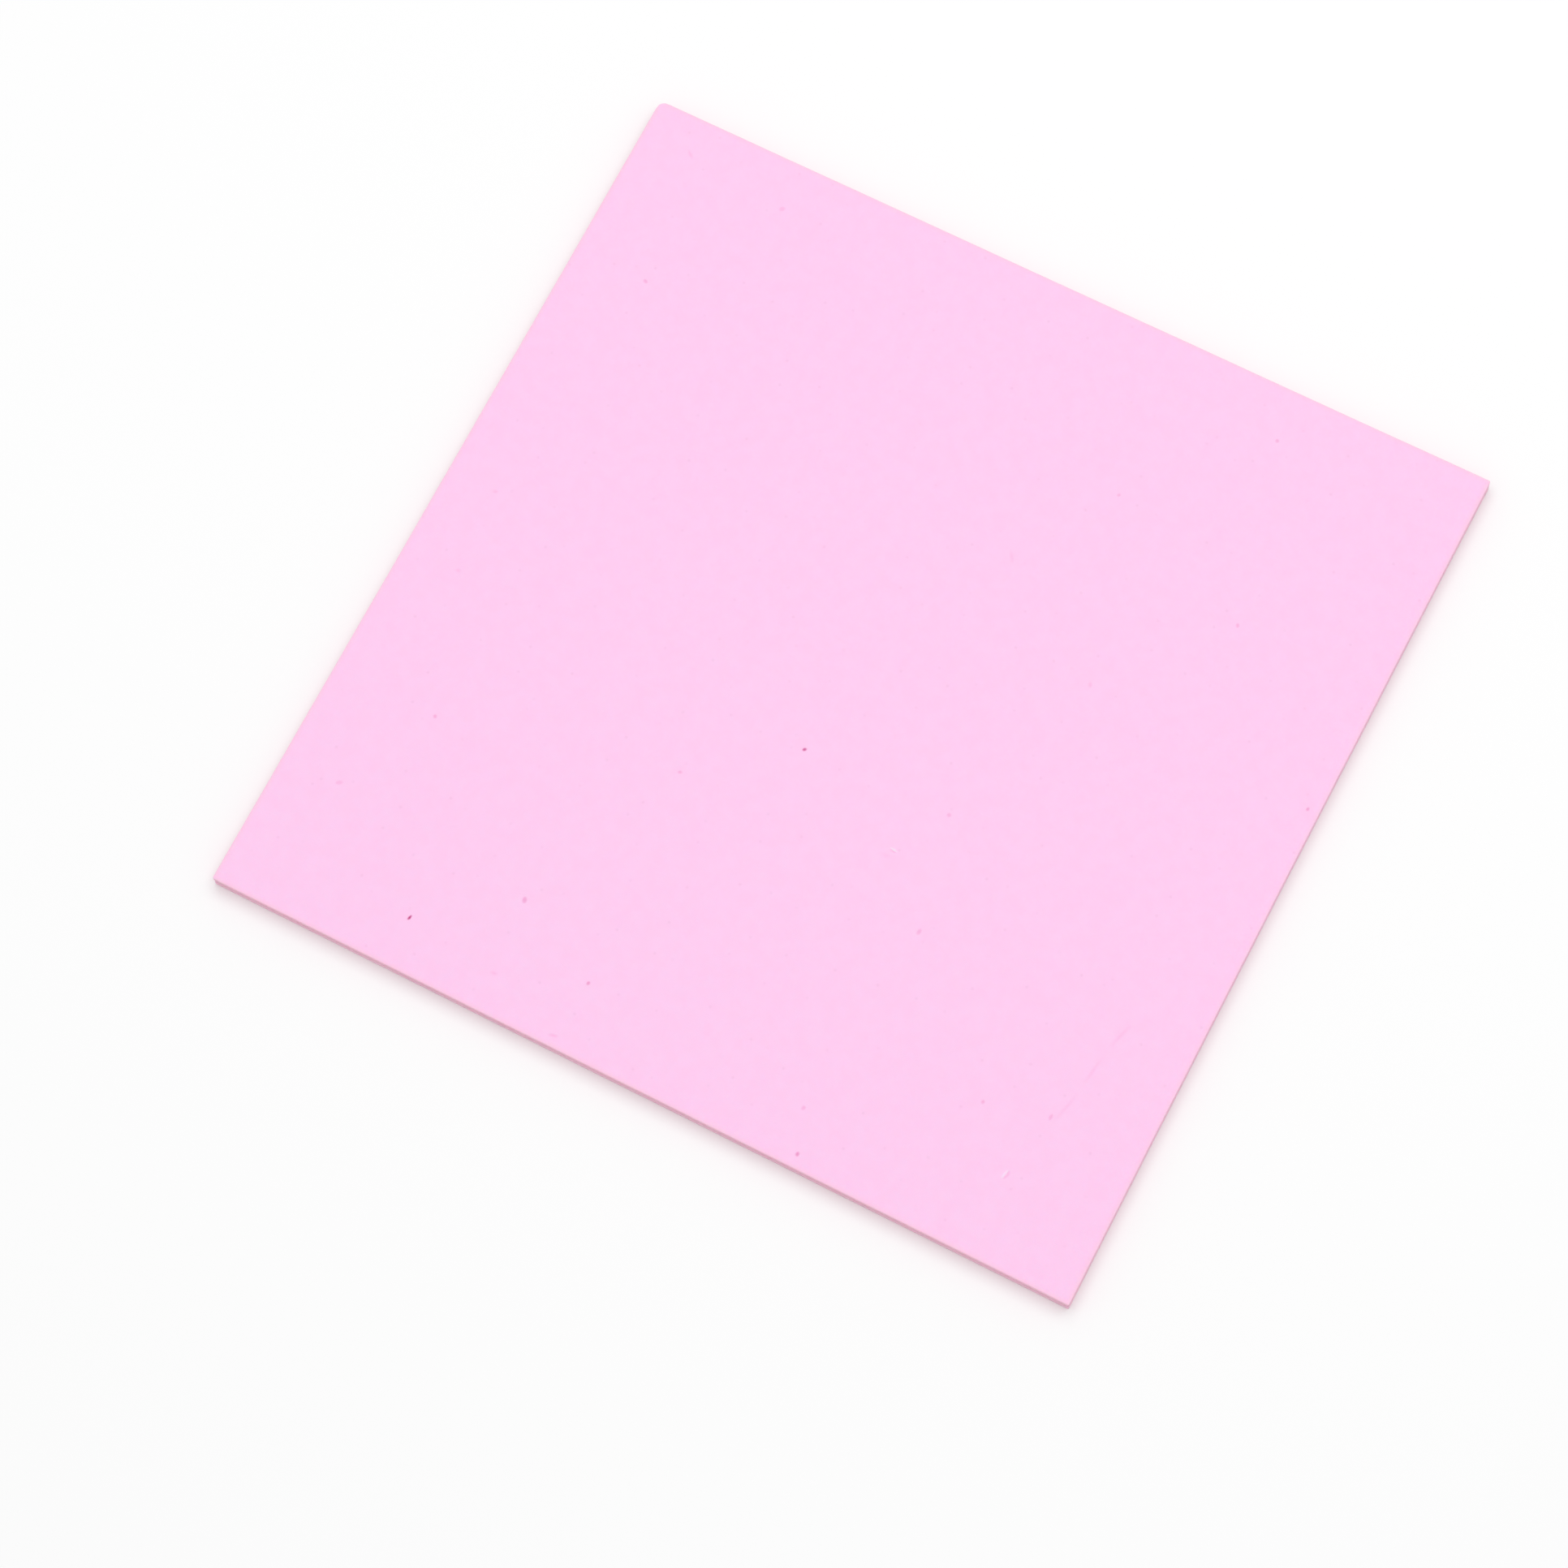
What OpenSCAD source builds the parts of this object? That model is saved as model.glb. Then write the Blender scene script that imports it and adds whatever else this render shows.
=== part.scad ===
// Scoring board: a plain, flat, square pad that paper rests on while it is scored,
// creased or cut. Two soft sheets are bonded over a core sheet, and the bonded stack
// is then trimmed to size, so every ply has the same outline.
// The origin is at the centre of the lower face, on the surface the board lies on.

/* [Board] */
// Side of the board along X
board_x = 100; // [60:1:300]
// Side of the board along Y
board_y = 100; // [60:1:300]
// Radius that trimming leaves at the four upright corners
corner_r = 0.2; // [0.2:0.1:3]
// Edge break round the upper and the lower face
rim_break = 0.1; // [0.05:0.05:0.15]

/* [Plies] */
// Thickness of the soft upper sheet
upper_sheet_t = 0.6; // [0.5:0.1:3]
// Thickness of the core sheet between the soft ones
core_sheet_t = 0.8; // [0.5:0.1:5]
// Thickness of the soft lower sheet
lower_sheet_t = 0.6; // [0.5:0.1:3]

/* [Hidden] */
$fn = 48;

face_pink = "#FECEF1";
core_pink = "#E9B2CC";

core_z = lower_sheet_t;
upper_z = core_z + core_sheet_t;

// Cross-section of a layer that is `wide` at its foot and drawn in at both sides on top
module layer_profile(wide, tall, draw_in) {
    top_half = wide / 2 - draw_in;
    polygon([[-wide / 2, 0], [wide / 2, 0], [top_half, tall], [-top_half, tall]]);
}

// Layer of the board's full outline, standing on z = 0 and drawn in all round on top
module board_layer(tall, draw_in = 0) {
    between_corners_x = board_x - 2 * corner_r;
    between_corners_y = board_y - 2 * corner_r;
    rotate([90, 0, 90])
        linear_extrude(between_corners_x, center = true)
            layer_profile(board_y, tall, draw_in);
    rotate([90, 0, 0])
        linear_extrude(between_corners_y, center = true)
            layer_profile(board_x, tall, draw_in);
    for (side_x = [-1, 1], side_y = [-1, 1])
        translate([side_x * between_corners_x / 2, side_y * between_corners_y / 2, 0])
            cylinder(tall, corner_r, corner_r - draw_in);
}

// Soft sheet standing on z = 0, with the edge break round its upper rim
module soft_sheet(sheet_t) {
    straight_t = sheet_t - rim_break;
    board_layer(straight_t);
    translate([0, 0, straight_t]) board_layer(rim_break, draw_in = rim_break);
}

// The face that the paper rests on
module upper_sheet() {
    color(face_pink) translate([0, 0, upper_z]) soft_sheet(upper_sheet_t);
}

// The inner ply that keeps the board flat
module core_sheet() {
    color(core_pink) translate([0, 0, core_z]) board_layer(core_sheet_t);
}

// The face that the board lies on
module lower_sheet() {
    color(face_pink) translate([0, 0, core_z]) mirror([0, 0, 1]) soft_sheet(lower_sheet_t);
}

upper_sheet();
core_sheet();
lower_sheet();
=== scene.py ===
"""Looks of a plain, square scoring board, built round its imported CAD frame.

The board is three bonded plies: a soft vinyl face sheet above and below, and a core sheet
between them. Each ply is a closed mesh with its own knife-cut edge, and the upper face has the
specks, nicks, dents and the scratch of a soft board that has been handled. Lengths are in
metres, and MM turns millimetres into them.
"""

import logging
import math
from dataclasses import dataclass, field
from enum import Enum
from typing import ClassVar

import bmesh
import bpy
import numpy as np
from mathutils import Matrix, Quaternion, Vector


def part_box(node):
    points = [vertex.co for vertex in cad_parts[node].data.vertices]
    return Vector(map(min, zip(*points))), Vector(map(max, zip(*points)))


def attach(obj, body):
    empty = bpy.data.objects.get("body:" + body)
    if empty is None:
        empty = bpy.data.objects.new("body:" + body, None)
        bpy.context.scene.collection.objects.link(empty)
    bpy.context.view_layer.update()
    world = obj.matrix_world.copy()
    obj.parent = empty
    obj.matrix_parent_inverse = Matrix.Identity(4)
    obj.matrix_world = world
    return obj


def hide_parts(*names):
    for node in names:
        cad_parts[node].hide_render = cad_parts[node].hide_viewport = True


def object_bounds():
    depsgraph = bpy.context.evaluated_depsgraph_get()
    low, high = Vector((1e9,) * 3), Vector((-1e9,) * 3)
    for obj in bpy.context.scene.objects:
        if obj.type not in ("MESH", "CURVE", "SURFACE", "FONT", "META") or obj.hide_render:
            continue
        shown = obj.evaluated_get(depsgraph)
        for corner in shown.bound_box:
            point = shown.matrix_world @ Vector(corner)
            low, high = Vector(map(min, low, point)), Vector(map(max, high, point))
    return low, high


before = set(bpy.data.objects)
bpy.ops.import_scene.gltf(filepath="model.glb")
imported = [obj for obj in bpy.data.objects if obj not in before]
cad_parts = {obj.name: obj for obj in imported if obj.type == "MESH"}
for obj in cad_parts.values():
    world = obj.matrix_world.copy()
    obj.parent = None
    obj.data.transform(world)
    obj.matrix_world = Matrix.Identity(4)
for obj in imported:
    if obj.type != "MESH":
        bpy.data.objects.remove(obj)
CAD_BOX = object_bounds()

MM = 0.001
BODY = "root"
# The mark attribute holds dark grains and, at the nicks, a painted highlight on the lip and painted shade
# in the cut.
MARK_TONE = "mark_tone"
# The rim attribute is painted shade: a deeper pink towards each side of the face.
PAINTED_RIM_SHADE = "painted_rim_shade"
SENSOR_WIDTH_MM = 36.0

# Sockets of a colour Mix node, which has several under each name.
MIX_SHARE, MIX_UNDER, MIX_OVER = 0, 6, 7
MIX_RESULT = 2

log = logging.getLogger("scoring_board")


class Facing(Enum):
    """The way that a ply's outer face looks."""

    UP = 1
    DOWN = -1


class Side(Enum):
    """The board's four sides, seen from above with +Y away."""

    NEAR = "near"
    RIGHT = "right"
    FAR = "far"
    LEFT = "left"


class MarkKind(Enum):
    """The small blemishes that a soft face shows."""

    SPECK = "dark grain rolled into the sheet"
    # A nick's pale lip is partly a painted highlight, and its cut is darkened as painted shade.
    NICK = "small cut with a lifted, whitened lip"
    SCRATCH = "fine broken line"
    DENT = "shallow press mark"


# ---------------------------------------------------------------- colour and nodes


def linear(hex_colour: str) -> tuple[float, float, float, float]:
    """Turns an sRGB hex colour into the linear values that shaders take.

    Args:
        hex_colour: The colour as "#RRGGBB".

    Returns:
        Linear red, green and blue, and an alpha of 1.
    """
    encoded = [int(hex_colour[i : i + 2], 16) / 255 for i in (1, 3, 5)]
    red, green, blue = (
        c / 12.92 if c <= 0.04045 else ((c + 0.055) / 1.055) ** 2.4 for c in encoded
    )
    return red, green, blue, 1.0


def pattern_scale(size_mm: float) -> float:
    """Texture scale at which one feature of a pattern in object coordinates is size_mm wide."""
    return 1 / (size_mm * MM)


def add_node(
    tree: bpy.types.NodeTree,
    kind: str,
    settings: dict[str | int, object] | None = None,
    links: dict[str | int, bpy.types.NodeSocket] | None = None,
) -> bpy.types.Node:
    """Adds one node with its settings and links.

    Args:
        tree: The node tree that gets the node.
        kind: The node's type name.
        settings: Values by property name, or by input name or number.
        links: Output sockets by the name or number of the input that they feed.

    Returns:
        The new node.
    """
    node = tree.nodes.new(kind)
    for key, value in (settings or {}).items():
        if isinstance(key, int) or key in node.inputs:
            node.inputs[key].default_value = value
        else:
            setattr(node, key, value)
    for key, source in (links or {}).items():
        tree.links.new(source, node.inputs[key])
    return node


def add_noise(
    tree: bpy.types.NodeTree,
    place: bpy.types.NodeSocket,
    size_mm: float,
    detail: float,
    roughness: float = 0.5,
) -> bpy.types.NodeSocket:
    """Adds a noise pattern.

    Args:
        tree: The material's tree.
        place: Coordinates of the pattern.
        size_mm: Size of its features.
        detail: Number of finer layers on it.
        roughness: Strength of the finer layers.

    Returns:
        The pattern, about 0.5 in its middle.
    """
    return add_node(
        tree, "ShaderNodeTexNoise",
        {"Scale": pattern_scale(size_mm), "Detail": detail, "Roughness": roughness},
        {"Vector": place},
    ).outputs["Fac"]


def remap(
    tree: bpy.types.NodeTree,
    value: bpy.types.NodeSocket,
    source: tuple[float, float],
    target: tuple[float, float] = (0.0, 1.0),
) -> bpy.types.NodeSocket:
    """Stretches a range of values onto another one, and holds it at both ends.

    Args:
        tree: The node tree.
        value: The value to stretch.
        source: The range that it comes from.
        target: The range that it goes to.

    Returns:
        The stretched value.
    """
    return add_node(
        tree, "ShaderNodeMapRange",
        {"From Min": source[0], "From Max": source[1], "To Min": target[0], "To Max": target[1]},
        {"Value": value},
    ).outputs["Result"]


def mix_colours(
    tree: bpy.types.NodeTree,
    share: bpy.types.NodeSocket,
    under: bpy.types.NodeSocket | str,
    over: bpy.types.NodeSocket | str,
) -> bpy.types.NodeSocket:
    """Mixes two colours, each given as a socket or as "#RRGGBB".

    Args:
        tree: The material's tree.
        share: Share of the second colour.
        under: The first colour.
        over: The second colour.

    Returns:
        The mixed colour.
    """
    settings: dict[str | int, object] = {"data_type": "RGBA"}
    links: dict[str | int, bpy.types.NodeSocket] = {MIX_SHARE: share}
    for number, colour in ((MIX_UNDER, under), (MIX_OVER, over)):
        if isinstance(colour, str):
            settings[number] = linear(colour)
        else:
            links[number] = colour
    return add_node(tree, "ShaderNodeMix", settings, links).outputs[MIX_RESULT]


def new_material(name: str) -> tuple[bpy.types.Material, bpy.types.NodeTree]:
    """Makes a material with an empty node tree.

    Args:
        name: The material's name.

    Returns:
        The material and its tree.
    """
    material = bpy.data.materials.new(name)
    material.use_nodes = True
    material.node_tree.nodes.clear()
    return material, material.node_tree


# ---------------------------------------------------------------- finishes


@dataclass(frozen=True)
class CalenderedVinyl:
    """Soft plasticised PVC sheet, calendered matt.

    The rollers leave a fine, even grain that scatters light, so the face looks chalky and has
    no clear highlight. The pigment is never mixed quite evenly, which shows as faint clouds.

    Attributes:
        name: The material's name.
        pink: Colour of the sheet.
        cloud_pink: Colour where the pigment is denser.
        rim_shade_pink: Painted shade along the cut rim: a deeper pink that stands in for the shading and
            the light scattered through the sheet's depth at the edge.
        fleck_pink: Colour of the faint flecks of undispersed pigment.
        dark_grain_and_shade: Colour of a grain rolled into the face, also mixed into the painted shade in
            a nick's cut.
        veiled_grain_and_shade: Colour of a grain that lies under the skin, or of a press mark, and the
            main colour of the painted shade in a nick's cut.
        whitened_and_highlight: Colour of vinyl that has been stretched or cut open, used on a nick's lip,
            where it is also a painted highlight.
        cloud_mm: Size of a pigment cloud.
        cloud_range: Values of the cloud pattern at which the two pinks are pure.
        fleck_gap_mm: Distance between neighbouring flecks.
        fleck_mm: Diameter of a fleck.
        fleck_core: Share of a fleck's radius that has its full colour.
        fleck_strength: Strength of the plainest fleck, from 0 to 1.
        grain_mm: Size of the roller grain.
        grain_depth_mm: Depth of the roller grain.
        roughness: Lowest and highest roughness over the face.
    """

    name: str = "calendered_soft_vinyl"
    pink: str = "#FCC6EA"
    cloud_pink: str = "#FCC4E8"
    rim_shade_pink: str = "#F8C2D8"
    fleck_pink: str = "#E3A5CC"
    dark_grain_and_shade: str = "#AF1C66"
    veiled_grain_and_shade: str = "#EC1CAA"
    whitened_and_highlight: str = "#FDEFFA"
    cloud_mm: float = 1.7
    cloud_range: tuple[float, float] = (0.38, 0.62)
    fleck_gap_mm: float = 4.5
    fleck_mm: float = 0.45
    fleck_core: float = 0.3
    fleck_strength: float = 0.25
    # The real grain is near 0.05 mm and would not show, so it is drawn several times coarser.
    grain_mm: float = 0.4
    grain_depth_mm: float = 0.012
    roughness: tuple[float, float] = (0.5, 0.64)

    def make(self) -> bpy.types.Material:
        """Builds the material.

        Returns:
            The finished material.
        """
        material, tree = new_material(self.name)
        place = add_node(tree, "ShaderNodeTexCoord").outputs["Object"]
        clouds = add_noise(tree, place, self.cloud_mm, detail=3.0, roughness=0.6)
        grain = add_noise(tree, place, self.grain_mm, detail=2.0)
        tinted = self._pigment(tree, place, clouds)
        marked = self._marks(tree, tinted)
        roughness = remap(tree, grain, (0.3, 0.7), self.roughness)
        bump = add_node(
            tree, "ShaderNodeBump",
            {"Strength": 1.0, "Distance": self.grain_depth_mm * MM},
            {"Height": grain},
        ).outputs["Normal"]
        shader = add_node(
            tree, "ShaderNodeBsdfPrincipled",
            {
                "IOR": 1.53,
                "Subsurface Weight": 0.25,
                "Subsurface Radius": (1.0, 0.35, 0.55),
                "Subsurface Scale": 1.2 * MM,
            },
            {"Base Color": marked, "Roughness": roughness, "Normal": bump},
        )
        add_node(tree, "ShaderNodeOutputMaterial", links={"Surface": shader.outputs["BSDF"]})
        return material

    def _pigment(
        self, tree: bpy.types.NodeTree, place: bpy.types.NodeSocket, clouds: bpy.types.NodeSocket
    ) -> bpy.types.NodeSocket:
        """Colours the sheet with its pigment clouds and faint flecks.

        Args:
            tree: The material's tree.
            place: Object coordinates.
            clouds: The cloud pattern.

        Returns:
            The colour socket.
        """
        cloud_share = remap(tree, clouds, self.cloud_range)
        clouded = mix_colours(tree, cloud_share, self.pink, self.cloud_pink)
        cells = add_node(
            tree, "ShaderNodeTexVoronoi",
            {"voronoi_dimensions": "2D", "Scale": pattern_scale(self.fleck_gap_mm)},
            {"Vector": place},
        )
        fleck_edge = self.fleck_mm / 2 / self.fleck_gap_mm
        spot = remap(
            tree, cells.outputs["Distance"],
            (fleck_edge, self.fleck_core * fleck_edge), (0.0, self.fleck_strength),
        )
        chance = add_node(
            tree, "ShaderNodeSeparateColor", links={"Color": cells.outputs["Color"]}
        ).outputs["Red"]
        kept = add_node(
            tree, "ShaderNodeMath", {"operation": "MULTIPLY"}, {0: spot, 1: chance}
        ).outputs["Value"]
        return mix_colours(tree, kept, clouded, self.fleck_pink)

    def _marks(self, tree: bpy.types.NodeTree, colour: bpy.types.NodeSocket) -> bpy.types.NodeSocket:
        """Adds the tones that the mesh holds: painted shade along the cut rim, dark grains, and at the
        nicks pale lips of stretched vinyl, partly painted highlight, with painted shade in the cut.

        Args:
            tree: The material's tree.
            colour: The colour so far.

        Returns:
            The colour socket with the marks on it.
        """
        # Painted shade: the face turns a deeper pink towards the cut rim.
        rim = add_node(tree, "ShaderNodeAttribute", {"attribute_name": PAINTED_RIM_SHADE}).outputs["Fac"]
        # Mark tones: dark grains, and at the nicks a painted highlight on the lip and painted shade in
        # the cut.
        tone = add_node(tree, "ShaderNodeAttribute", {"attribute_name": MARK_TONE}).outputs["Fac"]
        dark = remap(tree, tone, (0.0, -1.0))
        light = remap(tree, tone, (0.0, 1.0))
        grain = mix_colours(tree, dark, self.veiled_grain_and_shade, self.dark_grain_and_shade)
        rim_shaded = mix_colours(tree, rim, colour, self.rim_shade_pink)
        grained_and_shaded = mix_colours(tree, dark, rim_shaded, grain)
        return mix_colours(tree, light, grained_and_shaded, self.whitened_and_highlight)


@dataclass(frozen=True)
class KnifeCutVinylWithShade:
    """Soft PVC as a trimming knife leaves it.

    The blade drags fine lines down the wall. The fresh cut has no matt skin, so the sheet looks deeper in
    colour there and a little glossier than on its faces. The wall's deeper pink is partly that and partly
    painted shade of the wall.

    Attributes:
        name: The material's name.
        light_pink: Colour between the drag lines.
        dark_pink: Colour in the drag lines.
        line_mm: Distance between drag lines.
        line_depth_mm: Depth of the drag lines.
        line_squeeze: Factor on heights that draws the line pattern out down the wall.
        smear_mm: Size of the patches where the blade has smeared the wall.
        smear_weight: Weight of the smears against the drag lines in the colour.
        roughness: Lowest and highest roughness over the wall.
    """

    name: str = "knife_cut_vinyl_with_shade"
    # Both pinks are darker than the face's pink, partly as the cut's own colour and partly as painted
    # shade of the wall.
    light_pink: str = "#F2BACE"
    dark_pink: str = "#EAB0C5"
    # Real drag lines are about 0.05 mm apart, and are drawn coarser so that they show.
    line_mm: float = 0.3
    line_depth_mm: float = 0.007
    line_squeeze: float = 0.06
    smear_mm: float = 3.0
    smear_weight: float = 0.5
    roughness: tuple[float, float] = (0.38, 0.6)

    def make(self) -> bpy.types.Material:
        """Builds the material.

        Returns:
            The finished material.
        """
        material, tree = new_material(self.name)
        place = add_node(tree, "ShaderNodeTexCoord").outputs["Object"]
        drawn_out = add_node(
            tree, "ShaderNodeMapping", {"Scale": (1.0, 1.0, self.line_squeeze)}, {"Vector": place}
        ).outputs["Vector"]
        lines = add_noise(tree, drawn_out, self.line_mm, detail=2.0, roughness=0.65)
        smears = add_noise(tree, place, self.smear_mm, detail=2.0)
        worked = add_node(
            tree, "ShaderNodeMath",
            {"operation": "MULTIPLY_ADD", 1: self.smear_weight},
            {0: smears, 2: lines},
        ).outputs["Value"]
        colour = mix_colours(
            tree, remap(tree, worked, (0.55, 0.95)), self.dark_pink, self.light_pink
        )
        roughness = remap(tree, smears, (0.35, 0.65), self.roughness)
        bump = add_node(
            tree, "ShaderNodeBump",
            {"Strength": 1.0, "Distance": self.line_depth_mm * MM},
            {"Height": lines},
        ).outputs["Normal"]
        shader = add_node(
            tree, "ShaderNodeBsdfPrincipled",
            {
                "IOR": 1.53,
                "Subsurface Weight": 0.25,
                "Subsurface Radius": (1.0, 0.3, 0.5),
                "Subsurface Scale": 0.8 * MM,
            },
            {"Base Color": colour, "Roughness": roughness, "Normal": bump},
        )
        add_node(tree, "ShaderNodeOutputMaterial", links={"Surface": shader.outputs["BSDF"]})
        return material


@dataclass(frozen=True)
class SweepPaper:
    """White background paper, uncoated, which shows no grain and takes only soft shadows.

    Attributes:
        name: The material's name.
        white: Colour of the paper.
    """

    name: str = "white_sweep_paper"
    white: str = "#F6F6F6"

    def make(self) -> bpy.types.Material:
        """Builds the material.

        Returns:
            The finished material.
        """
        material, tree = new_material(self.name)
        shader = add_node(
            tree, "ShaderNodeBsdfDiffuse", {"Color": linear(self.white), "Roughness": 0.0}
        )
        add_node(tree, "ShaderNodeOutputMaterial", links={"Surface": shader.outputs["BSDF"]})
        return material


# ---------------------------------------------------------------- shapes


@dataclass(frozen=True)
class Mark:
    """One blemish on a face.

    Attributes:
        kind: What it is.
        x_mm: Its place along X.
        y_mm: Its place along Y.
        length_mm: Its longer size.
        width_mm: Its shorter size.
        turn_deg: The angle from +X to its length.
        strength: How strongly it shows, from 0 to 1.
    """

    kind: MarkKind
    x_mm: float
    y_mm: float
    length_mm: float
    width_mm: float
    turn_deg: float
    strength: float

    SPECK_RISE: ClassVar[float] = 0.008 * MM
    DENT_DEPTH: ClassVar[float] = 0.02 * MM
    # A nick is a cut, darkened as painted shade, with its lip beside it, tinted pale as stretched vinyl
    # and as a painted highlight. The lip's place and reach are in half widths.
    CUT_DEPTH: ClassVar[float] = 0.09 * MM
    CUT_SHADE: ClassVar[float] = 0.3
    LIP_RISE: ClassVar[float] = 0.024 * MM
    LIP_PLACE: ClassVar[float] = 0.9
    LIP_REACH: ClassVar[float] = 0.6
    # A scratch wanders within its width and breaks up along its length, both as sine waves.
    SCRATCH_DEPTH: ClassVar[float] = 0.012 * MM
    LINE_WIDTH: ClassVar[float] = 0.35
    WANDER: ClassVar[float] = 0.9
    WANDER_RATE: ClassVar[float] = 2.2
    BREAK_RATE: ClassVar[float] = 9.0
    BREAK_START: ClassVar[float] = 0.8

    def local(self, x: np.ndarray, y: np.ndarray) -> tuple[np.ndarray, np.ndarray]:
        """Gives points in the mark's own axes, where its half sizes are 1.

        Args:
            x: Places along X, in metres.
            y: Places along Y, in metres.

        Returns:
            Places along the mark's length and across it.
        """
        turn = math.radians(self.turn_deg)
        right, away = x / MM - self.x_mm, y / MM - self.y_mm
        along = right * math.cos(turn) + away * math.sin(turn)
        across = away * math.cos(turn) - right * math.sin(turn)
        return along / (self.length_mm / 2), across / (self.width_mm / 2)

    def near(self, x: np.ndarray, y: np.ndarray, margin_mm: float) -> np.ndarray:
        """Tells which points are on the mark or close to it.

        Args:
            x: Places along X, in metres.
            y: Places along Y, in metres.
            margin_mm: How far off the mark still counts.

        Returns:
            True for each point that counts.
        """
        along, across = self.local(x, y)
        reach_along = 1 + margin_mm / (self.length_mm / 2)
        reach_across = 1 + margin_mm / (self.width_mm / 2)
        return (np.abs(along) < reach_along) & (np.abs(across) < reach_across)

    def shape(self, x: np.ndarray, y: np.ndarray) -> tuple[np.ndarray, np.ndarray]:
        """Works out how the mark lifts and tints the face.

        Args:
            x: Places along X, in metres.
            y: Places along Y, in metres.

        Returns:
            The height that it adds, in metres, and its tone, from -1 dark to 1 whitened; at a nick the
            dark is painted shade and the pale is partly a painted highlight.
        """
        along, across = self.local(x, y)
        dome = np.clip(1 - along**2 - across**2, 0, None)
        if self.kind is MarkKind.SPECK:
            return self.SPECK_RISE * dome, -self.strength * np.sqrt(dome)
        if self.kind is MarkKind.NICK:
            lip_across = (across - self.LIP_PLACE) / self.LIP_REACH
            lip = np.clip(1 - along**2 - lip_across**2, 0, None)
            height = self.LIP_RISE * lip - self.CUT_DEPTH * dome
            # Painted highlight on the lip, partly the paler colour of stretched vinyl, and painted shade
            # in the cut.
            return height, self.strength * (np.sqrt(lip) - self.CUT_SHADE * dome)
        if self.kind is MarkKind.SCRATCH:
            wander = self.WANDER * np.sin(self.WANDER_RATE * along)
            line = np.exp(-(((across - wander) / self.LINE_WIDTH) ** 2)) * (np.abs(along) < 1)
            broken = 0.5 + 0.5 * np.sin(self.BREAK_RATE * along + self.BREAK_START)
            return -self.SCRATCH_DEPTH * line * broken, -self.strength * line * broken
        return -self.DENT_DEPTH * dome**2, -self.strength * dome**2


@dataclass(frozen=True)
class Outline:
    """Plan of the board as the knife left it, with corners and sides that aren't quite true.

    Attributes:
        half_x: Half the board's side along X.
        half_y: Half the board's side along Y.
        corner_r: Radius of the upright corners.
        blunt_r: Radius of the far-left corner, which handling has blunted.
        hollow: How far each side is drawn in at its middle, or at its ends if negative.
        ripple: Height of the small waves along every side.
        fade: Power that keeps the draw-in close to the side.
    """

    half_x: float
    half_y: float
    corner_r: float = 0.2 * MM
    blunt_r: float = 0.95 * MM
    hollow: dict[Side, float] = field(
        default_factory=lambda: {
            Side.NEAR: 0.0,
            Side.RIGHT: 0.12 * MM,
            Side.FAR: 0.02 * MM,
            Side.LEFT: 0.05 * MM,
        }
    )
    ripple: float = 0.02 * MM
    fade: int = 12

    # The ripple is a long wave and a weaker short one, at other phases on each side.
    LONG_RATE: ClassVar[float] = 9.0
    SHORT_RATE: ClassVar[float] = 23.0
    SHORT_SHARE: ClassVar[float] = 0.6
    SHORT_PHASE: ClassVar[float] = 2.1

    def draw_in(self, side: Side, t: np.ndarray) -> np.ndarray:
        """Gives how far inside the straight line a side runs.

        Args:
            side: The side.
            t: Places along it, from -1 to 1.

        Returns:
            The distance inwards at each place.
        """
        depth = self.hollow[side]
        bow = depth * (1 - t**2) if depth >= 0 else -depth * t**2
        phase = list(Side).index(side)
        long_wave = np.sin(self.LONG_RATE * t + phase)
        short_wave = self.SHORT_SHARE * np.sin(self.SHORT_RATE * t + self.SHORT_PHASE * phase)
        return bow + self.ripple * (1 + (long_wave + short_wave) / (1 + self.SHORT_SHARE)) / 2

    def place(self, x: np.ndarray, y: np.ndarray) -> tuple[np.ndarray, np.ndarray]:
        """Moves points of a plain rectangle onto the trimmed outline.

        Args:
            x: Places along X in the rectangle.
            y: Places along Y in the rectangle.

        Returns:
            The places on the trimmed board.
        """
        radius = np.where((x < 0) & (y > 0), self.blunt_r, self.corner_r)
        over_x = np.abs(x) - (self.half_x - radius)
        over_y = np.abs(y) - (self.half_y - radius)
        in_corner = (over_x > 0) & (over_y > 0)
        reach = np.hypot(over_x, over_y)
        shrink = np.where(in_corner, np.maximum(over_x, over_y) / np.where(reach > 0, reach, 1), 1)
        x = np.sign(x) * np.where(in_corner, self.half_x - radius + over_x * shrink, np.abs(x))
        y = np.sign(y) * np.where(in_corner, self.half_y - radius + over_y * shrink, np.abs(y))
        t_x, t_y = x / self.half_x, y / self.half_y
        side_x = np.where(x > 0, self.draw_in(Side.RIGHT, t_y), self.draw_in(Side.LEFT, t_y))
        side_y = np.where(y > 0, self.draw_in(Side.FAR, t_x), self.draw_in(Side.NEAR, t_x))
        return (
            x - np.sign(x) * side_x * np.abs(t_x) ** self.fade,
            y - np.sign(y) * side_y * np.abs(t_y) ** self.fade,
        )


def arc_steps(radius: float, count: int = 6) -> np.ndarray:
    """Distances from a side at which lines round a rim of that radius evenly."""
    return radius * (1 - np.cos(np.linspace(0, math.pi / 2, count + 1)))


def rim_drop(distance: np.ndarray, radius: float) -> np.ndarray:
    """How far a face lies below its flat middle at each distance from a rounded rim."""
    inside = np.clip(radius - distance, 0, radius)
    return radius - np.sqrt(radius**2 - inside**2)


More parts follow.
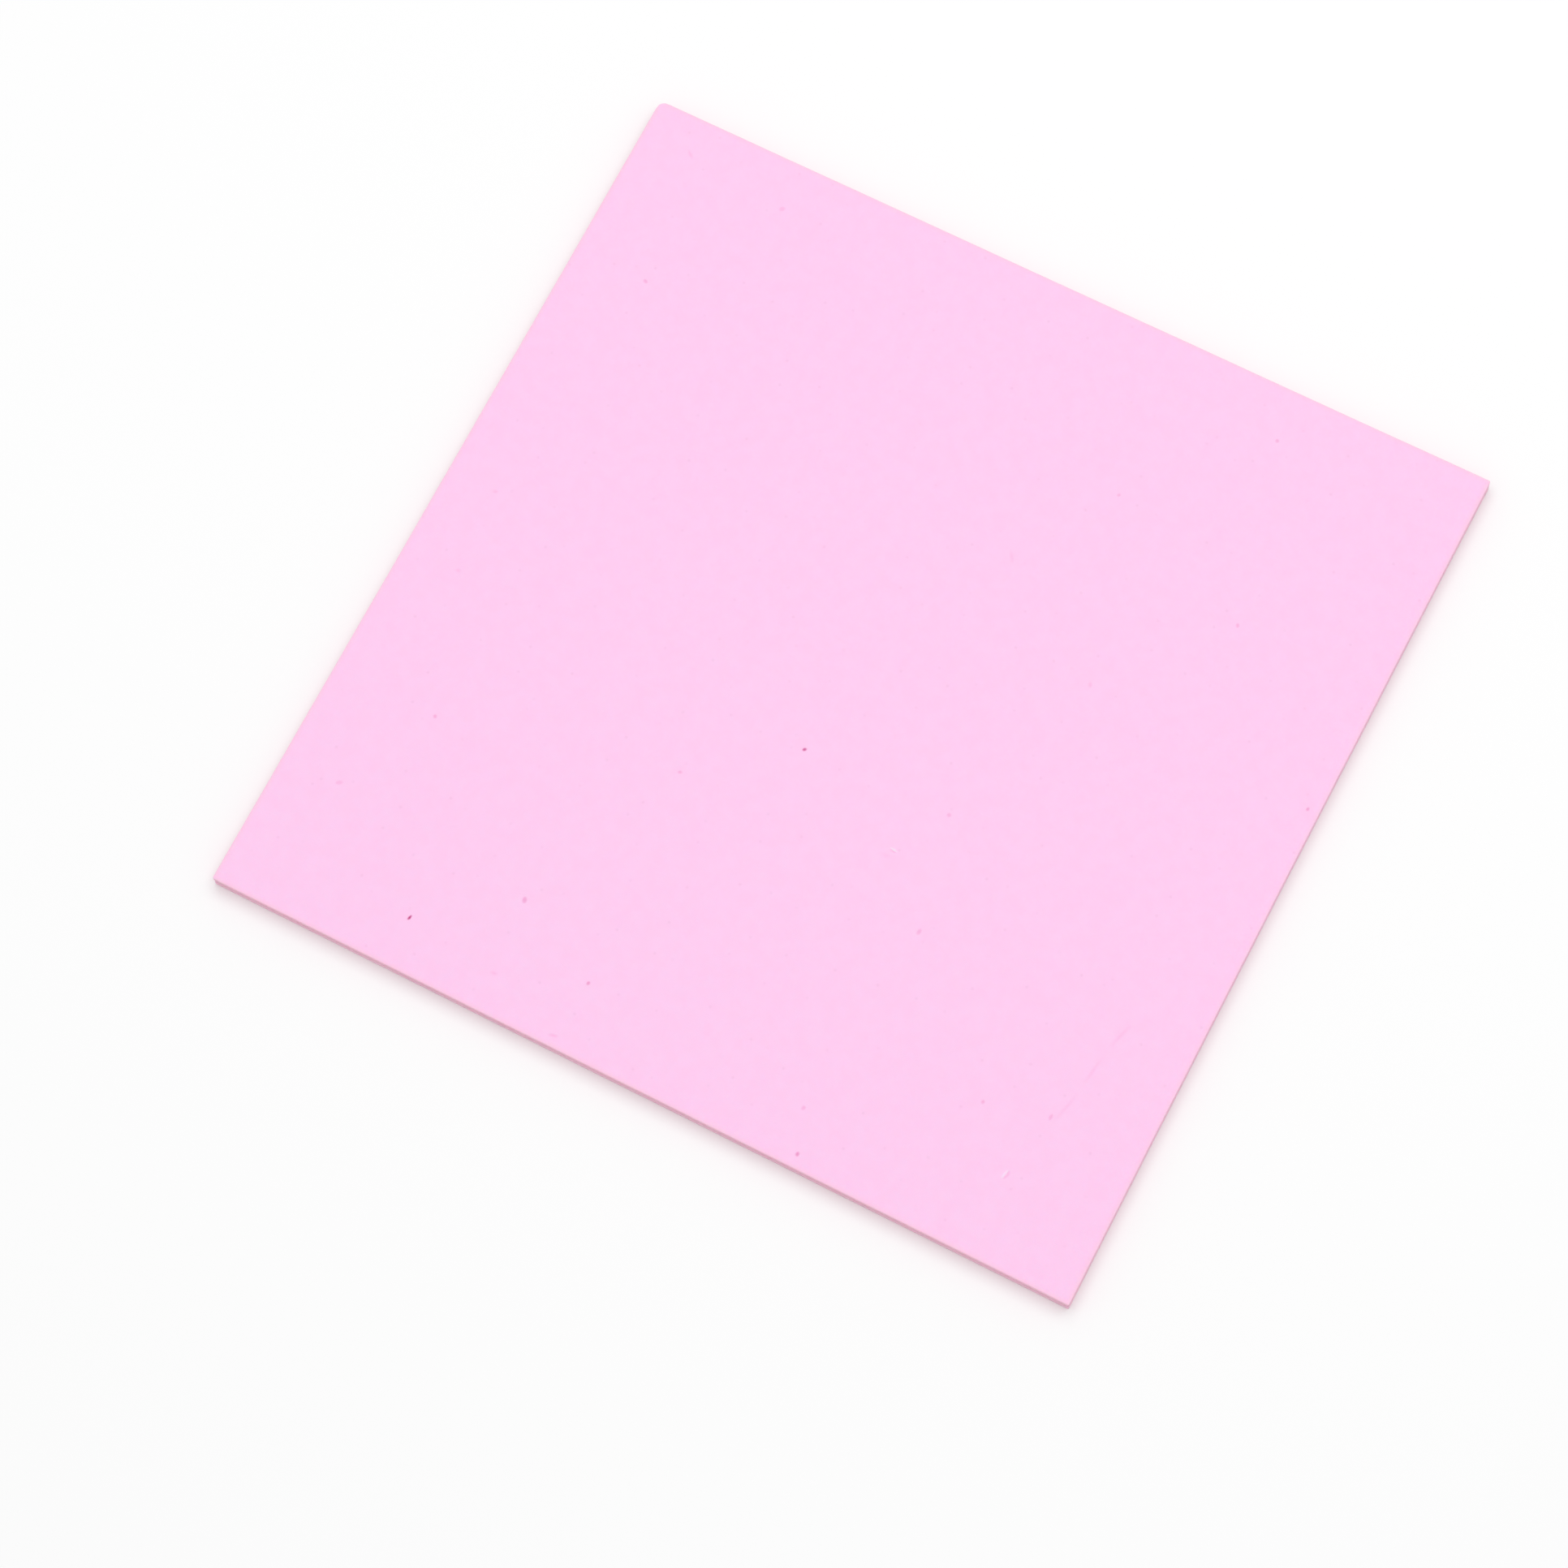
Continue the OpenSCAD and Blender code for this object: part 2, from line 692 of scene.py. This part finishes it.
def grid_lines(half: float, rim: float, step: float) -> np.ndarray:
    """Places of the lines across one side of a face.

    Args:
        half: Half the side.
        rim: Radius of the rim, which gets lines of its own.
        step: Distance between the lines away from the rim.

    Returns:
        The places in order, from -half to half.
    """
    widening = np.array([0.3, 0.8])
    from_side = np.append(arc_steps(rim), rim + widening * step)
    start = from_side[-1] + step
    count = round(2 * (half - start) / step)
    middle = np.linspace(start - half, half - start, count + 1)
    return np.concatenate([from_side - half, middle, half - from_side[::-1]])


def sheet_waves(x: np.ndarray, y: np.ndarray, seed: int) -> np.ndarray:
    """Long, shallow waves of a sheet that doesn't lie perfectly flat.

    Args:
        x: Places along X.
        y: Places along Y.
        seed: Picks the waves.

    Returns:
        Heights from -1 to 0.
    """
    rng = np.random.default_rng(seed)
    wave_count = 5
    shortest_mm, longest_mm = 18, 55
    total = np.zeros_like(x)
    for _ in range(wave_count):
        heading, phase = rng.uniform(0, 2 * math.pi, 2)
        length = rng.uniform(shortest_mm, longest_mm) * MM
        run = (x * math.cos(heading) + y * math.sin(heading)) / length
        total += np.sin(2 * math.pi * run + phase)
    return (total / wave_count - 1) / 2


# ---------------------------------------------------------------- plies


@dataclass
class Ply:
    """One ply of the board, as a closed mesh that takes its place and thickness from the frame.

    Attributes:
        node: The CAD node that it stands for.
        slot: The record's material slot; it is not used.
        facing: The way its outer face looks.
        outline: Plan of the trimmed board.
        outer_rim: Radius of the rim round the outer face.
        inner_rim: Radius of the rim at the bond line.
        step: Distance between the grid lines of the faces.
        shy: How far the wall stays inside the outline.
        chatter: Depth of the blade's chatter on the wall.
        headroom: How far the outer face stays inside its CAD face.
        wave_height: Height of the long waves of the outer face.
        wall_rings: Rows of points between the two rims.
        seed: Picks the waves and the chatter.
        marks: Blemishes of the outer face.
        thickness: The ply's thickness, from the frame.
        bond_z: Height of its bond line, from the frame.
    """

    node: str
    slot: str
    facing: Facing
    outline: Outline
    outer_rim: float
    inner_rim: float
    step: float
    shy: float = 0.0
    chatter: float = 0.012 * MM
    headroom: float = 0.0
    wave_height: float = 0.0
    wall_rings: int = 5
    seed: int = 1
    marks: tuple[Mark, ...] = ()
    thickness: float = field(init=False)
    bond_z: float = field(init=False)

    # Cells of a mark are split this many times, so that the smallest speck has points on it.
    MARK_CUTS: ClassVar[int] = 5
    MARK_MARGIN_MM: ClassVar[float] = 0.35
    # A cell belongs to the flat outer face if its normal is this close to upright.
    FLAT_COSINE: ClassVar[float] = 0.99
    # Distance from the side over which the painted rim shade, a deeper pink, fades out.
    RIM_SHADE_FADE: ClassVar[float] = 0.7 * MM
    # The whole wall is this much more hollow than its chatter, as a share of the chatter.
    WALL_HOLLOW: ClassVar[float] = 0.8
    # Shares of the thickness at which waves and marks start, and over which they reach full height.
    LIFT_START: ClassVar[float] = 0.5
    LIFT_REACH: ClassVar[float] = 0.3

    def __post_init__(self) -> None:
        """Takes the ply's thickness and its bond line from the frame."""
        low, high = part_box(self.node)
        self.thickness = high.z - low.z
        self.bond_z = low.z if self.facing is Facing.UP else high.z

    def build(self) -> bpy.types.Object:
        """Builds the ply's mesh in its place.

        Returns:
            The new object, linked to the scene.
        """
        mesh = bpy.data.meshes.new(self.node + "_piece")
        self._fill(mesh)
        self._refine(mesh)
        self._finish_points(mesh)
        mesh.shade_smooth()
        piece = bpy.data.objects.new(self.node + "_piece", mesh)
        bpy.context.scene.collection.objects.link(piece)
        return piece

    def dress(self, piece: bpy.types.Object, face: bpy.types.Material, wall: bpy.types.Material) -> None:
        """Gives the piece its finishes and ties it to the frame.

        Args:
            piece: The ply's object.
            face: Finish of its faces.
            wall: Finish of its cut wall.
        """
        piece.data.materials.append(face)
        piece.data.materials.append(wall)
        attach(piece, BODY)
        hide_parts(self.node)
        log.info("%s: %d faces, %s and %s", piece.name, len(piece.data.polygons), face.name, wall.name)

    def _fill(self, mesh: bpy.types.Mesh) -> None:
        """Fills a mesh with the plain ply: two gridded faces and the wall between them.

        Args:
            mesh: The empty mesh.
        """
        lines_x = grid_lines(self.outline.half_x, self.outer_rim, self.step)
        lines_y = grid_lines(self.outline.half_y, self.outer_rim, self.step)
        grid_x, grid_y = np.meshgrid(lines_x, lines_y, indexing="ij")
        from_side = np.minimum(
            self.outline.half_x - np.abs(grid_x), self.outline.half_y - np.abs(grid_y)
        )
        plan_x, plan_y = self.outline.place(grid_x, grid_y)
        squeeze_x = 1 - self.shy / self.outline.half_x
        squeeze_y = 1 - self.shy / self.outline.half_y
        plan_x, plan_y = plan_x * squeeze_x, plan_y * squeeze_y
        top = self.thickness - self.headroom
        outer = np.stack([plan_x, plan_y, top - rim_drop(from_side, self.outer_rim)], axis=-1)
        inner = np.stack([plan_x, plan_y, rim_drop(from_side, self.inner_rim)], axis=-1)
        numbers = np.arange(grid_x.size).reshape(grid_x.shape)
        loop = np.concatenate(
            [numbers[:-1, 0], numbers[-1, :-1], numbers[:0:-1, -1], numbers[0, :0:-1]]
        )
        outer, inner = outer.reshape(-1, 3), inner.reshape(-1, 3)
        walls = self._wall_rows(outer[loop], inner[loop])
        points = np.concatenate([outer, inner, walls.reshape(-1, 3)])
        faces = self._faces(numbers, loop, len(walls))
        points[:, 2] = self.bond_z + self.facing.value * points[:, 2]
        if self.facing is Facing.DOWN:
            faces = faces[:, ::-1]
        mesh.from_pydata(points.tolist(), [], faces.tolist())
        wall_count = len(loop) * (len(walls) + 1)
        kinds = np.zeros(len(faces), np.int32)
        kinds[-wall_count:] = 1
        mesh.polygons.foreach_set("material_index", kinds)

    def _wall_rows(self, upper: np.ndarray, lower: np.ndarray) -> np.ndarray:
        """Makes the rows of points down the wall.

        Args:
            upper: The loop at the outer rim.
            lower: The loop at the bond line.

        Returns:
            One row of points after another, from the outer rim to the bond line.
        """
        ahead, behind = np.roll(upper, -1, axis=0), np.roll(upper, 1, axis=0)
        run = (ahead - behind)[:, :2]
        run /= np.linalg.norm(run, axis=1, keepdims=True)
        outward = np.stack([run[:, 1], -run[:, 0], np.zeros(len(run))], axis=1)
        rng = np.random.default_rng(self.seed)
        bite = self.chatter * rng.uniform(0, 1, (len(upper), 1))
        rows = []
        for share in np.linspace(0, 1, self.wall_rings + 2)[1:-1]:
            hollow = math.sin(math.pi * share)
            row = upper * (1 - share) + lower * share - outward * bite * hollow
            rows.append(row - outward * self.WALL_HOLLOW * self.chatter * hollow)
        return np.array(rows)

    @staticmethod
    def _faces(numbers: np.ndarray, loop: np.ndarray, rings: int) -> np.ndarray:
        """Lists the quads of the outer face, the inner face and the wall, in that order.

        Args:
            numbers: Point numbers of the outer face's grid.
            loop: Point numbers round the outer face.
            rings: Rows of points on the wall.

        Returns:
            Four point numbers for each quad.
        """
        a, b = numbers[:-1, :-1].ravel(), numbers[1:, :-1].ravel()
        c, d = numbers[1:, 1:].ravel(), numbers[:-1, 1:].ravel()
        outer = np.stack([a, b, c, d], axis=1)
        inner = outer[:, ::-1] + numbers.size
        first_ring = 2 * numbers.size
        rows = [loop]
        rows += [first_ring + i * len(loop) + np.arange(len(loop)) for i in range(rings)]
        rows.append(loop + numbers.size)
        walls = [
            np.stack([upper, lower, np.roll(lower, -1), np.roll(upper, -1)], axis=1)
            for upper, lower in zip(rows[:-1], rows[1:])
        ]
        return np.concatenate([outer, inner, *walls])

    def _refine(self, mesh: bpy.types.Mesh) -> None:
        """Splits the outer face's cells under each mark.

        Args:
            mesh: The plain ply.
        """
        if not self.marks:
            return
        bm = bmesh.new()
        bm.from_mesh(mesh)
        bm.faces.ensure_lookup_table()
        centres = np.array([face.calc_center_median() for face in bm.faces])
        upright = np.array([face.normal.z * self.facing.value for face in bm.faces])
        under = np.zeros(len(centres), bool)
        for mark in self.marks:
            under |= mark.near(centres[:, 0], centres[:, 1], self.MARK_MARGIN_MM)
        cells = [bm.faces[i] for i in np.flatnonzero(under & (upright > self.FLAT_COSINE))]
        edges = {edge for cell in cells for edge in cell.edges}
        bmesh.ops.subdivide_edges(
            bm, edges=sorted(edges, key=lambda edge: edge.index), cuts=self.MARK_CUTS, use_grid_fill=True
        )
        bm.to_mesh(mesh)
        bm.free()

    def _finish_points(self, mesh: bpy.types.Mesh) -> None:
        """Adds the outer face's waves and marks, and writes the two tones that the finish reads: the
        marks' tones, with the nicks' painted highlight and shade, and the painted shade along the rim.

        Args:
            mesh: The refined ply.
        """
        points = np.empty(len(mesh.vertices) * 3)
        mesh.vertices.foreach_get("co", points)
        points = points.reshape(-1, 3)
        x, y = points[:, 0], points[:, 1]
        height = (points[:, 2] - self.bond_z) * self.facing.value
        lift_from = self.LIFT_START * self.thickness
        on_top = np.clip((height - lift_from) / (self.LIFT_REACH * self.thickness), 0, 1)
        lift = self.wave_height * sheet_waves(x, y, self.seed)
        # The marks' tones hold the grains and also the nicks' painted highlight and painted shade.
        tone = np.zeros(len(points))
        for mark in self.marks:
            raised, tint = mark.shape(x, y)
            lift += raised
            tone += tint
        points[:, 2] += self.facing.value * lift * on_top
        mesh.vertices.foreach_set("co", points.ravel())
        # Painted shade along the rim: full at the side, fading out inwards.
        from_side = np.minimum(self.outline.half_x - np.abs(x), self.outline.half_y - np.abs(y))
        rim = np.clip(1 - from_side / self.RIM_SHADE_FADE, 0, 1) ** 2
        for name, values in ((MARK_TONE, tone * on_top), (PAINTED_RIM_SHADE, rim)):
            layer = mesh.attributes.new(name, "FLOAT", "POINT")
            layer.data.foreach_set("value", np.clip(values, -1, 1).astype(np.float32))


# ---------------------------------------------------------------- the board


@dataclass
class ScoringBoard:
    """The whole board: upper sheet, core sheet and lower sheet.

    Attributes:
        rim: Radius that the knife's pressure leaves round both faces.
        bond_rim: Radius of each ply's edge at a bond line.
        face_step: Grid step of the face sheets.
        core_step: Grid step of the core sheet, whose faces are hidden.
    """

    rim: float = 0.1 * MM
    bond_rim: float = 0.05 * MM
    face_step: float = 0.62 * MM
    core_step: float = 0.7 * MM

    def face_marks(self) -> tuple[Mark, ...]:
        """Lists the blemishes of the upper face.

        Returns:
            The marks, the plainest first.
        """
        speck, nick = MarkKind.SPECK, MarkKind.NICK
        scratch, dent = MarkKind.SCRATCH, MarkKind.DENT
        return (
            Mark(speck, -29.4, -44.4, 0.7, 0.32, 79, 1.0),
            Mark(speck, -1.2, -9.5, 0.55, 0.4, 45, 0.85),
            Mark(speck, 18.3, -48.5, 0.58, 0.45, 90, 0.5),
            Mark(speck, -9.4, -42.2, 0.5, 0.4, 90, 0.45),
            Mark(speck, 48.6, 8.3, 0.5, 0.4, 86, 0.38),
            Mark(speck, -19.6, -37.3, 0.8, 0.55, 108, 0.36),
            Mark(speck, -37.7, -23.8, 0.5, 0.45, 127, 0.3),
            Mark(speck, -11.7, -17.6, 0.5, 0.42, 24, 0.27),
            Mark(speck, 15.6, -9.1, 0.55, 0.48, 170, 0.25),
            Mark(speck, 18.6, -21.8, 0.8, 0.5, 84, 0.25),
            Mark(speck, -41.3, 30.2, 0.65, 0.45, 151, 0.27),
            Mark(speck, 16.6, -43.9, 0.6, 0.45, 73, 0.24),
            Mark(speck, 32.7, -35.0, 0.48, 0.4, 82, 0.3),
            Mark(speck, 39.6, -33.3, 0.8, 0.38, 91, 0.26),
            Mark(speck, 27.8, 44.0, 0.5, 0.45, 116, 0.28),
            Mark(speck, 33.2, 23.3, 0.55, 0.38, 114, 0.3),
            Mark(speck, 15.5, 30.9, 0.45, 0.38, 48, 0.26),
            Mark(speck, -32.0, 44.4, 0.75, 0.55, 42, 0.19),
            Mark(speck, -43.2, -34.8, 0.85, 0.5, 36, 0.19),
            Mark(nick, 38.3, -40.8, 1.15, 0.45, 78, 0.5),
            Mark(nick, 12.2, -15.2, 0.9, 0.28, -6, 0.8),
            Mark(scratch, 41.2, -27.5, 13.5, 1.0, 75, 0.1),
            Mark(dent, 11.7, -16.0, 1.4, 0.8, 10, 0.07),
            Mark(dent, 22.3, 10.4, 1.0, 0.6, 115, 0.17),
            Mark(dent, 8.5, 19.5, 2.0, 0.6, 124, 0.11),
            Mark(dent, -10.0, -48.8, 1.6, 0.5, 13, 0.16),
            Mark(dent, -18.7, -45.7, 1.1, 0.6, 11, 0.14),
            Mark(dent, -44.0, 45.7, 1.6, 0.5, -40, 0.15),
            Mark(dent, -43.4, -8.3, 1.0, 0.7, 0, 0.13),
            Mark(dent, -44.2, 1.4, 0.9, 0.6, 30, 0.15),
        )

    def plies(self) -> tuple[Ply, ...]:
        """Works out the three plies from the frame.

        Returns:
            The upper sheet, the core sheet and the lower sheet.
        """
        low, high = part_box("core_sheet")
        outline = Outline((high.x - low.x) / 2, (high.y - low.y) / 2)
        upper = Ply(
            "upper_sheet", "face_sheet", Facing.UP, outline, self.rim, self.bond_rim, self.face_step,
            headroom=0.03 * MM, wave_height=0.02 * MM, seed=11, marks=self.face_marks(),
        )
        core = Ply(
            "core_sheet", "core_sheet", Facing.UP, outline, self.bond_rim, self.bond_rim,
            self.core_step, shy=0.04 * MM, chatter=0.02 * MM, seed=12,
        )
        lower = Ply(
            "lower_sheet", "face_sheet", Facing.DOWN, outline, self.rim, self.bond_rim, self.face_step,
            headroom=0.005 * MM, wave_height=0.01 * MM, seed=13,
        )
        return upper, core, lower

    def build(self) -> list[bpy.types.Object]:
        """Builds and dresses the three plies.

        Returns:
            The pieces, from the top down.
        """
        face, cut = CalenderedVinyl().make(), KnifeCutVinylWithShade().make()
        # The core's wall is deeper pink still, partly as its own colour and partly as painted shade of
        # the wall.
        core_cut = KnifeCutVinylWithShade(
            "knife_cut_core_with_shade", light_pink="#EDB4C8", dark_pink="#E4A8BD", line_mm=0.4, smear_mm=2.0
        ).make()
        pieces = []
        for ply in self.plies():
            piece = ply.build()
            if ply.node == "core_sheet":
                ply.dress(piece, core_cut, core_cut)
            else:
                ply.dress(piece, face, cut)
            pieces.append(piece)
        return pieces


# ---------------------------------------------------------------- studio


@dataclass(frozen=True)
class Studio:
    """Plain pale floor, an overhead softbox and the camera.

    Attributes:
        floor_side: Side of the floor.
        softbox_side: Side of the square softbox.
        softbox_place: Centre of the softbox.
        softbox_watts: Its power.
        fill: Strength of the even light from all round.
        backdrop: Brightness of what lies beyond the floor.
        azimuth_deg: Direction that the camera looks from, 0 along +Y.
        elevation_deg: Camera's height above the horizon.
        roll_deg: Turn of the camera about its own axis, clockwise.
        distance: Distance from the camera to the point it looks at.
        aim: The point on the upper face that the camera looks at.
        lens_mm: Focal length, for the sensor's width.
    """

    floor_side: float = 8.0
    softbox_side: float = 0.9
    softbox_place: tuple[float, float, float] = (-0.01, 0.16, 0.75)
    softbox_watts: float = 3.08
    fill: float = 0.72
    backdrop: float = 0.98
    azimuth_deg: float = 34.8
    elevation_deg: float = 71.7
    roll_deg: float = 7.6
    distance: float = 0.5265
    aim: tuple[float, float] = (-1.35 * MM, -13.85 * MM)
    lens_mm: float = 115.5

    def build(self) -> None:
        """Sets up the floor, the lights and the camera."""
        self._floor()
        self._softbox()
        self._world()
        self._camera()
        view = bpy.context.scene.view_settings
        view.view_transform = "Standard"
        view.look = "None"

    def _floor(self) -> None:
        """Lays the floor under the board."""
        mesh = bpy.data.meshes.new("floor")
        half = self.floor_side / 2
        corners = [(-half, -half, 0), (half, -half, 0), (half, half, 0), (-half, half, 0)]
        mesh.from_pydata(corners, [], [(0, 1, 2, 3)])
        floor = bpy.data.objects.new("floor", mesh)
        bpy.context.scene.collection.objects.link(floor)
        mesh.materials.append(SweepPaper().make())

    def _softbox(self) -> None:
        """Hangs the softbox over the board, aimed at its middle."""
        light = bpy.data.lights.new("softbox", "AREA")
        light.shape = "SQUARE"
        light.size = self.softbox_side
        light.energy = self.softbox_watts
        softbox = bpy.data.objects.new("softbox", light)
        softbox.location = self.softbox_place
        softbox.rotation_mode = "QUATERNION"
        softbox.rotation_quaternion = (-Vector(self.softbox_place)).to_track_quat("-Z", "Y")
        bpy.context.scene.collection.objects.link(softbox)

    def _world(self) -> None:
        """Lights the scene evenly from all round, with a white backdrop behind the floor."""
        world = bpy.data.worlds.new("studio")
        world.use_nodes = True
        tree = world.node_tree
        tree.nodes.clear()
        seen = add_node(tree, "ShaderNodeLightPath").outputs["Is Camera Ray"]
        strength = remap(tree, seen, (0.0, 1.0), (self.fill, self.backdrop))
        sky = add_node(tree, "ShaderNodeBackground", {"Color": linear("#FFFFFF")}, {"Strength": strength})
        add_node(tree, "ShaderNodeOutputWorld", links={"Surface": sky.outputs["Background"]})
        bpy.context.scene.world = world

    def _camera(self) -> None:
        """Places the camera above the board, looking steeply down at it."""
        azimuth, elevation = math.radians(self.azimuth_deg), math.radians(self.elevation_deg)
        back = Vector(
            (
                math.sin(azimuth) * math.cos(elevation),
                -math.cos(azimuth) * math.cos(elevation),
                math.sin(elevation),
            )
        )
        target = Vector((*self.aim, CAD_BOX[1].z))
        data = bpy.data.cameras.new("camera")
        data.sensor_width = SENSOR_WIDTH_MM
        data.lens = self.lens_mm
        camera = bpy.data.objects.new("camera", data)
        camera.location = target + back * self.distance
        camera.rotation_mode = "QUATERNION"
        roll = Quaternion((0, 0, 1), -math.radians(self.roll_deg))
        camera.rotation_quaternion = (-back).to_track_quat("-Z", "Y") @ roll
        bpy.context.scene.collection.objects.link(camera)
        bpy.context.scene.camera = camera


def main() -> None:
    """Builds the studio and the board, and reports each piece."""
    logging.basicConfig(level=logging.INFO, format="%(name)s: %(message)s")
    Studio().build()
    pieces = ScoringBoard().build()
    log.info("%d pieces on body %s", len(pieces), BODY)


if __name__ == "__main__":
    main()
